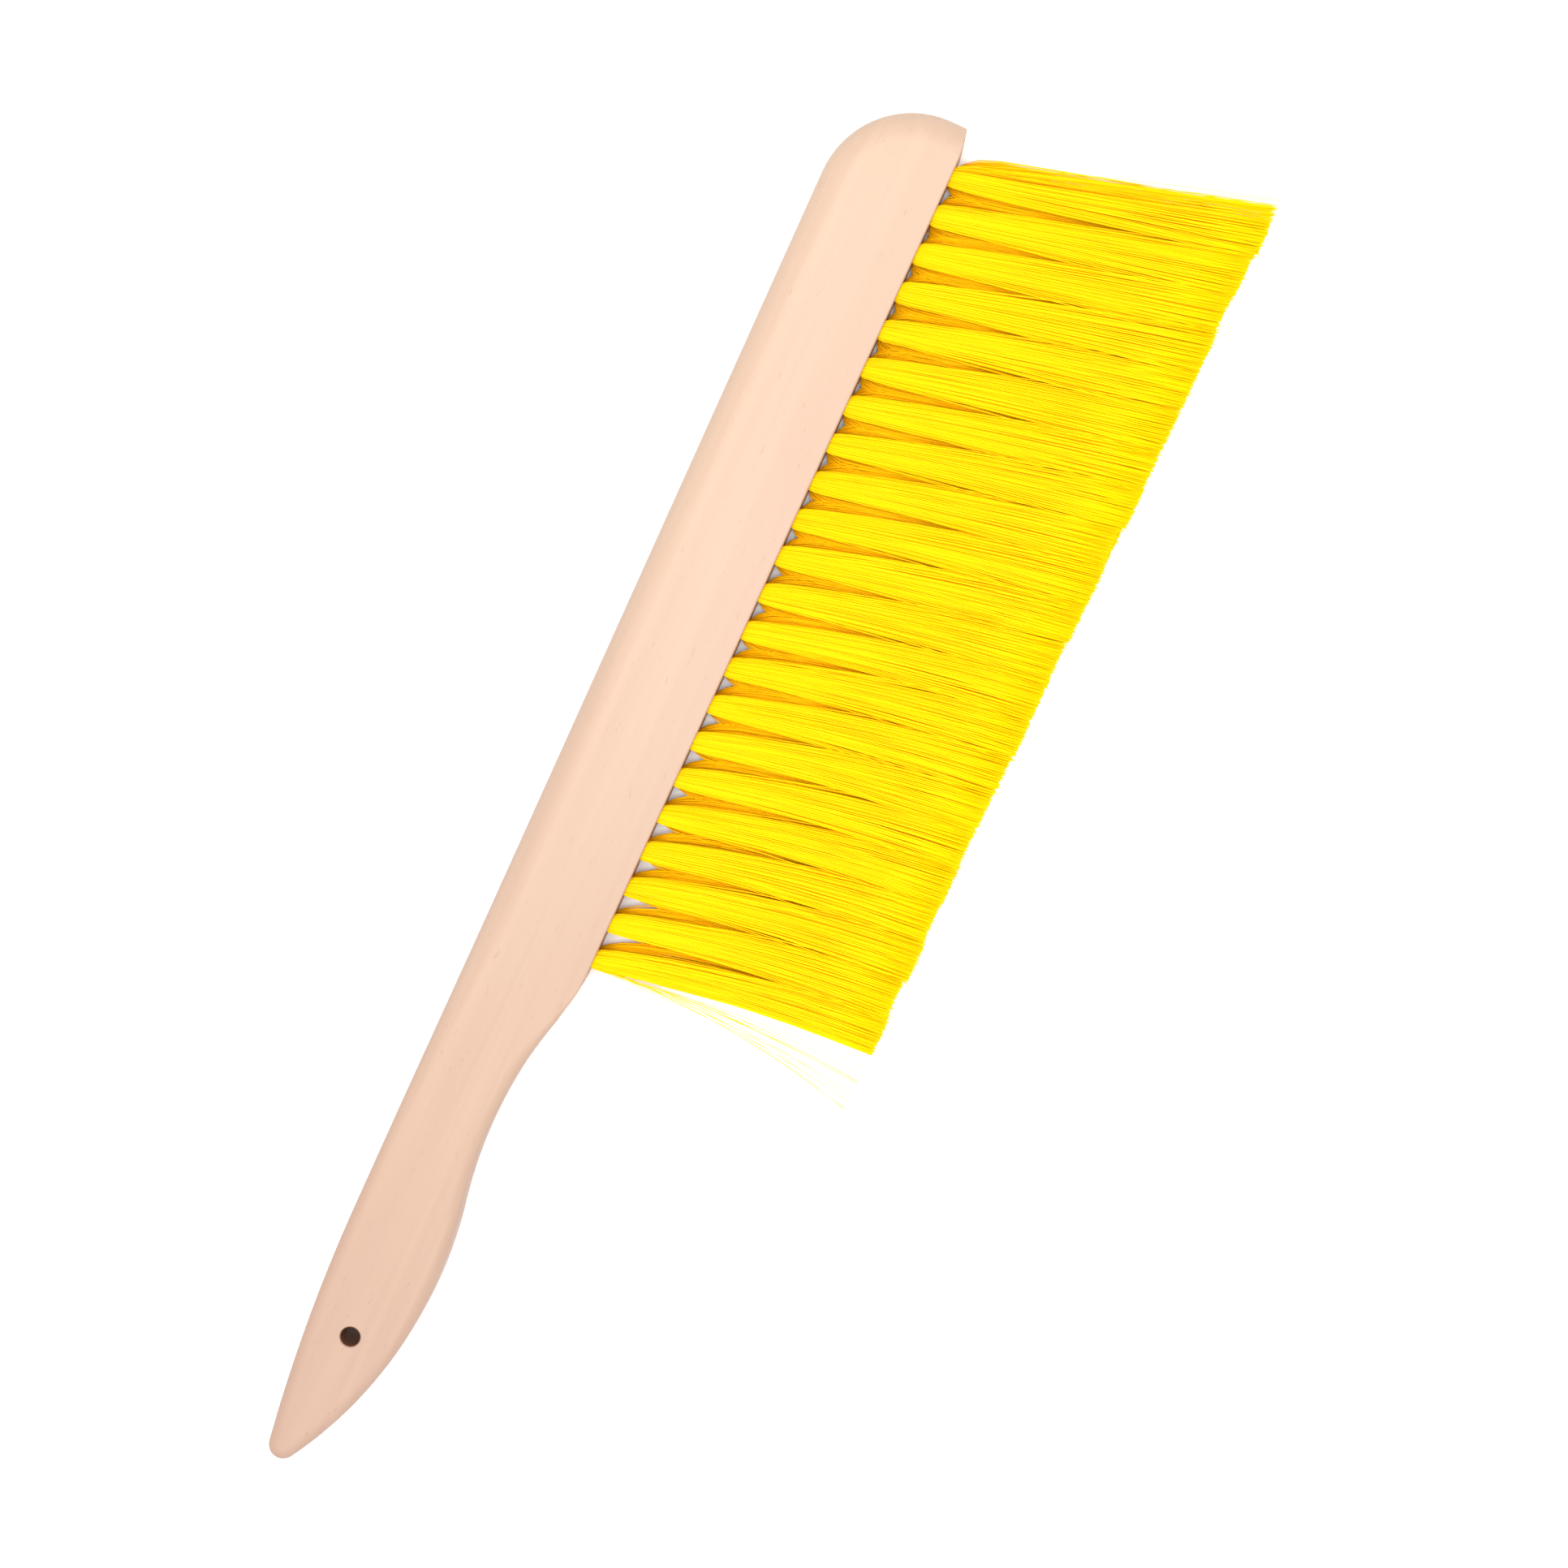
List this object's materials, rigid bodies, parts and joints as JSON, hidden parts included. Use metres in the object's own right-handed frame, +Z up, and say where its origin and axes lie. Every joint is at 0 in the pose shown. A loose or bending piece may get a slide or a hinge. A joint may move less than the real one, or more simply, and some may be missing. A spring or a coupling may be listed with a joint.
{
  "type": "bee brush",
  "caption": "Flat one-piece wooden bee brush with a waisted grip, a small round hanging hole near its tip, and long yellow synthetic bristle tufts stapled along one edge.",
  "frame": {"origin": "middle of the bottom of the whole brush's bounding box, with the brush lying flat", "axes": "+X along the handle from the grip's tip to the head, +Z up through the board's thickness, and the bristles point to -Y"},
  "size_m": [0.3832, 0.1024, 0.015],
  "materials": {
    "beech": "satin",
    "yellow_filament": "satin",
    "staple_wire": "satin"
  },
  "bodies": {
    "root": {"handle": "beech", "tuft_lower_01": "yellow_filament", "tuft_lower_02": "yellow_filament", "tuft_lower_03": "yellow_filament", "tuft_lower_04": "yellow_filament", "tuft_lower_05": "yellow_filament", "tuft_lower_06": "yellow_filament", "tuft_lower_07": "yellow_filament", "tuft_lower_08": "yellow_filament", "tuft_lower_09": "yellow_filament", "tuft_lower_10": "yellow_filament", "tuft_lower_11": "yellow_filament", "tuft_lower_12": "yellow_filament", "tuft_lower_13": "yellow_filament", "tuft_lower_14": "yellow_filament", "tuft_lower_15": "yellow_filament", "tuft_lower_16": "yellow_filament", "tuft_lower_17": "yellow_filament", "tuft_lower_18": "yellow_filament", "tuft_lower_19": "yellow_filament", "tuft_lower_20": "yellow_filament", "tuft_lower_21": "yellow_filament", "tuft_lower_22": "yellow_filament", "staples_lower": "staple_wire", "tuft_upper_01": "yellow_filament", "tuft_upper_02": "yellow_filament", "tuft_upper_03": "yellow_filament", "tuft_upper_04": "yellow_filament", "tuft_upper_05": "yellow_filament", "tuft_upper_06": "yellow_filament", "tuft_upper_07": "yellow_filament", "tuft_upper_08": "yellow_filament", "tuft_upper_09": "yellow_filament", "tuft_upper_10": "yellow_filament", "tuft_upper_11": "yellow_filament", "tuft_upper_12": "yellow_filament", "tuft_upper_13": "yellow_filament", "tuft_upper_14": "yellow_filament", "tuft_upper_15": "yellow_filament", "tuft_upper_16": "yellow_filament", "tuft_upper_17": "yellow_filament", "tuft_upper_18": "yellow_filament", "tuft_upper_19": "yellow_filament", "tuft_upper_20": "yellow_filament", "tuft_upper_21": "yellow_filament", "tuft_upper_22": "yellow_filament", "staples_upper": "staple_wire"}
  },
  "joints": []
}
